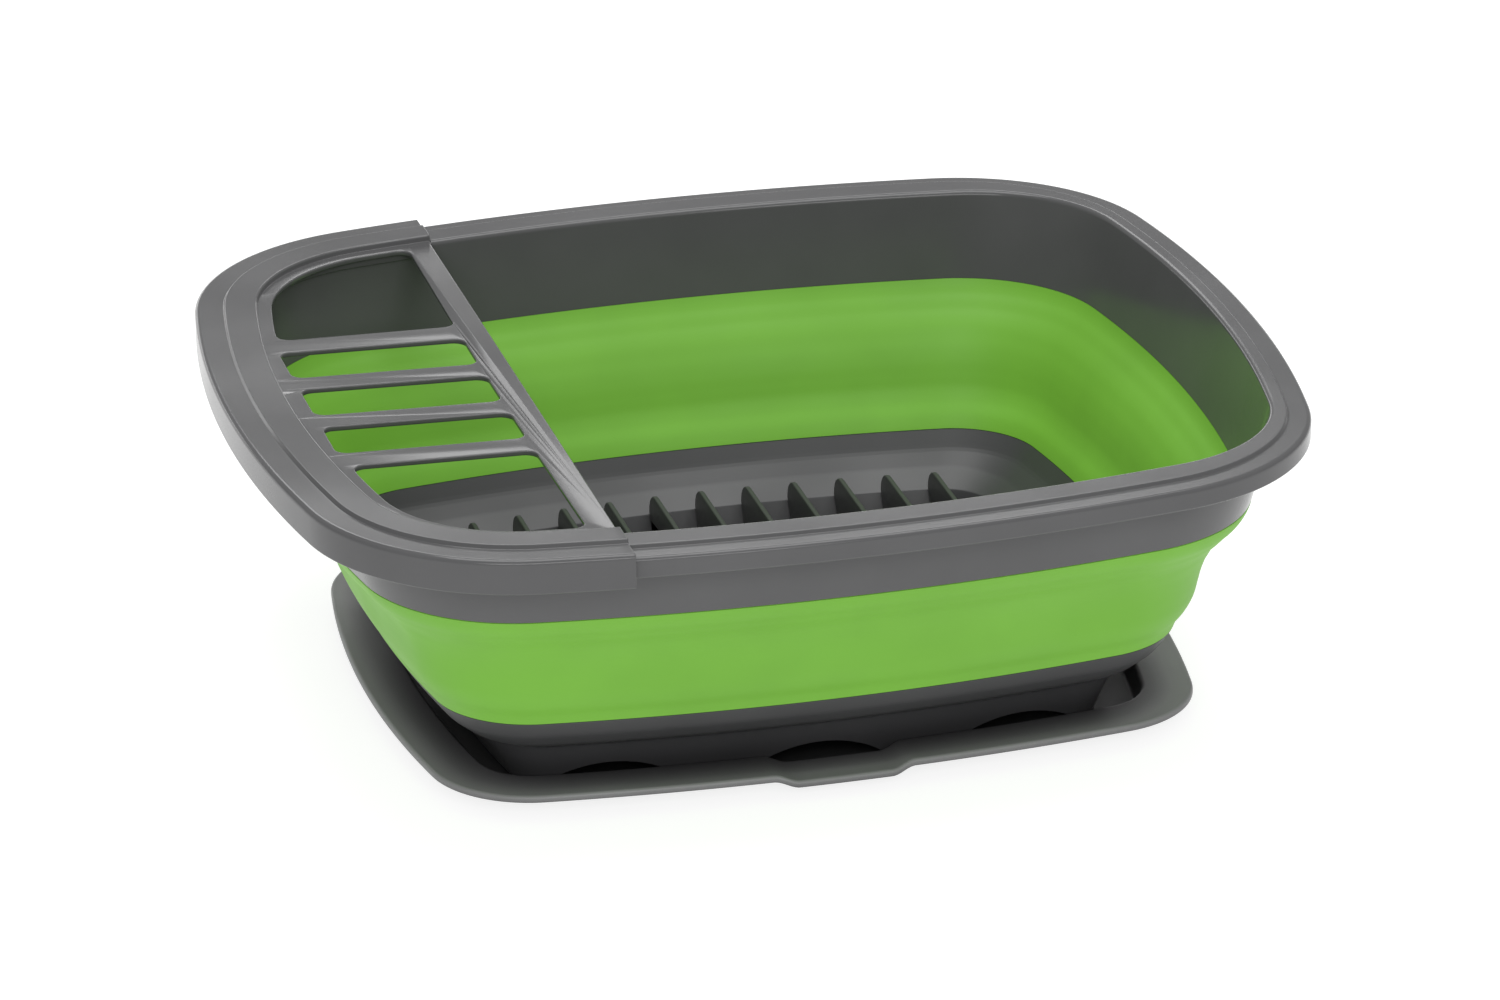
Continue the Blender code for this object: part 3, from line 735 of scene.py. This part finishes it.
def moulded(name, colour, contrast=0.05, roughness=0.15, spread=0.03, grain=0.2, warp=0.1,
            specular=0.5, glow=0.0, gaps=0.0):
    """Moulded plastic or rubber: cloudy colour, roughness that varies, fine grain and slow warp.
    The glow is painted light: an emission in the colour that lifts the shaded inside, standing in for light
    through a thin wall, and gaps is the reach of the painted shade in narrow places."""
    material, nodes, links = new_material(name)
    shader = nodes["Principled BSDF"]
    shader.inputs["Specular IOR Level"].default_value = specular
    place = nodes.new("ShaderNodeTexCoord").outputs["Object"]
    cloud = noise_node(nodes, links, CLOUD_SCALE, 3.0, place)
    speck = noise_node(nodes, links, GRAIN_SCALE, 2.0, place)
    slow = noise_node(nodes, links, GLOSS_SCALE, 1.0, place)
    tint = nodes.new("ShaderNodeMix")
    tint.data_type = "RGBA"
    tint.inputs["A"].default_value = (*(c * (1 - contrast) for c in colour), 1)
    tint.inputs["B"].default_value = (*(c * (1 + contrast) for c in colour), 1)
    links.new(spread_node(nodes, links, cloud, 0.0, 1.0), tint.inputs["Factor"])
    cloudy = tint.outputs["Result"]
    tone = shaded_colour(nodes, links, cloudy, gaps) if gaps else cloudy
    links.new(tone, shader.inputs["Base Color"])
    gloss = spread_node(nodes, links, slow, roughness - spread, roughness + spread)
    links.new(gloss, shader.inputs["Roughness"])
    normal = bump_node(nodes, links, speck, grain, GRAIN_DEPTH)
    for axis, scale in WARPS:
        bend = wave_node(nodes, links, axis, scale, place)
        normal = bump_node(nodes, links, bend, warp, WARP_DEPTH, normal)
    links.new(normal, shader.inputs["Normal"])
    # Painted light: the piece glows in its own colour, which lifts its shaded side.
    if glow:
        links.new(cloudy, shader.inputs["Emission Color"])
        shader.inputs["Emission Strength"].default_value = glow
    return material


# ---------------------------------------------------------------- floor, light and camera
FLOOR_SIZE = 6.0
FLOOR_GAP = 0.3 * MM         # the floor lies this far below the tray
FLOOR_TONE = 0.38
FLOOR_GLOW = 0.82            # keeps the floor near white under the object
WORLD_STRENGTH = 0.42
# Area lights as name, place, aim, width and height, and power in watts.
LIGHTS = (("overhead", (0.1, 0.2, 2.2), (0, 0, 0.1), (1.6, 1.6), 36),
          ("front_high", (-0.5, -2.5, 1.4), (0, 0, 0.08), (2.2, 0.9), 31),
          ("back_softbox", (0.35, 2.3, 1.55), (0, 0, 0.1), (1.3, 0.55), 7),
          ("back_glow", (0.0, 2.6, 0.30), (0, 0, 0.1), (3.2, 0.45), 8))
CAMERA_PLACE = (-0.6873, -2.6090, 1.1977)
CAMERA_AIM = (0.0024, 0.0070, 0.0618)
CAMERA_ROLL = math.radians(-0.6472)
CAMERA_SENSOR = 36.0
CAMERA_LENS = 192.5


def area_light(name, place, target, size, power):
    light = bpy.data.lights.new(name, "AREA")
    light.shape = "RECTANGLE"
    light.size, light.size_y = size
    light.energy = power
    obj = bpy.data.objects.new(name, light)
    bpy.context.scene.collection.objects.link(obj)
    obj.location = place
    obj.rotation_mode = "QUATERNION"
    obj.rotation_quaternion = (Vector(target) - Vector(place)).to_track_quat("-Z", "Y")


def make_stage():
    floor = bmesh.new()
    bmesh.ops.create_grid(floor, x_segments=2, y_segments=2, size=FLOOR_SIZE)
    obj = add_mesh("floor", floor)
    obj.location.z = cad_low.z - FLOOR_GAP
    material, nodes, _ = new_material("pale_floor")
    shader = nodes["Principled BSDF"]
    shader.inputs["Base Color"].default_value = (FLOOR_TONE, FLOOR_TONE, FLOOR_TONE, 1)
    shader.inputs["Roughness"].default_value = 0.9
    shader.inputs["Specular IOR Level"].default_value = 0.0
    shader.inputs["Emission Color"].default_value = (1, 1, 1, 1)
    shader.inputs["Emission Strength"].default_value = FLOOR_GLOW
    obj.data.materials.append(material)
    world = bpy.data.worlds.new("studio")
    bpy.context.scene.world = world
    world.use_nodes = True
    background = world.node_tree.nodes["Background"]
    background.inputs["Color"].default_value = (1, 1, 1, 1)
    background.inputs["Strength"].default_value = WORLD_STRENGTH
    for light in LIGHTS:
        area_light(*light)


def make_camera():
    place, target = Vector(CAMERA_PLACE), Vector(CAMERA_AIM)
    forward = (target - place).normalized()
    level = forward.cross(Vector((0, 0, 1))).normalized()
    upright = level.cross(forward)
    right = level * math.cos(CAMERA_ROLL) + upright * math.sin(CAMERA_ROLL)
    up = upright * math.cos(CAMERA_ROLL) - level * math.sin(CAMERA_ROLL)
    camera = bpy.data.objects.new("camera", bpy.data.cameras.new("camera"))
    bpy.context.scene.collection.objects.link(camera)
    camera.data.sensor_width = CAMERA_SENSOR
    camera.data.lens = CAMERA_LENS
    camera.data.clip_end = 50.0
    rotation = Matrix((right, up, -forward)).transposed().to_4x4()
    camera.matrix_world = Matrix.Translation(place) @ rotation
    bpy.context.scene.camera = camera


# ---------------------------------------------------------------- assembly
def place_piece(obj, material, nodes):
    obj.data.materials.clear()
    obj.data.materials.append(material)
    smooth(obj)
    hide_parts(*nodes)


def main():
    make_camera()
    make_stage()
    bpy.context.scene.view_settings.view_transform = "Standard"
    tray, base, wall, rim, caddy = make_tray(), make_base(), make_wall(), make_rim(), make_caddy()
    # The tray's colour carries painted light, and its gaps add painted shade.
    tray_grey = moulded("tray_grey", TRAY_GREY_PAINTED_LIGHTER, roughness=0.42, spread=0.05, grain=0.25, specular=0.4,
                        gaps=18 * MM)
    base_grey = moulded("base_grey", DARK_GREY, roughness=0.45, spread=0.05, grain=0.25, specular=0.45)
    # The green rubber's glow is painted light that evens out its shade inside the tub.
    green_rubber = moulded("green_rubber", GREEN, contrast=0.04, roughness=0.55, spread=0.05, grain=0.3,
                           specular=0.35, glow=0.60)
    rim_grey = moulded("rim_grey", GREY, warp=0.35, specular=0.32)
    caddy_grey = moulded("caddy_grey", GREY, warp=0.35, specular=0.32)
    place_piece(tray, tray_grey, ["drip_tray"])
    place_piece(base, base_grey, ["base", *fin_names])
    place_piece(wall, green_rubber, ["folding_wall"])
    place_piece(rim, rim_grey, ["rim_frame"])
    place_piece(caddy, caddy_grey, ["utensil_caddy"])
    for piece, body in ((tray, "tray"), (base, "tub"), (rim, "rim"), (caddy, "caddy")):
        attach(piece, body)
    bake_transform(wall)


main()
